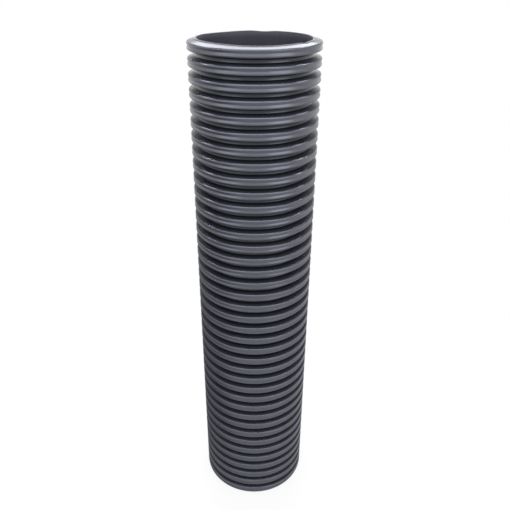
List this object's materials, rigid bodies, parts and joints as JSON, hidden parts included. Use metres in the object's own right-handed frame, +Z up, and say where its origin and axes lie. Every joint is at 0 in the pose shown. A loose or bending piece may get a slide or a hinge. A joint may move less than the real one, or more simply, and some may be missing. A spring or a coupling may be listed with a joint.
{
  "type": "protective guard tube",
  "caption": "Black corrugated twin-wall plastic tube with a smooth bore and square sawn ends, a guard to slip over a stem, post or cable.",
  "frame": {"origin": "centre of the bore at the lower sawn end, which the tube stands on", "axes": "+Z up along the tube's axis; X and Y are free, because the tube is round"},
  "size_m": [0.11, 0.11, 0.4778],
  "materials": {
    "black_polyethylene": "satin, as extruded"
  },
  "bodies": {
    "root": {"guard_tube": "black_polyethylene"}
  },
  "joints": []
}
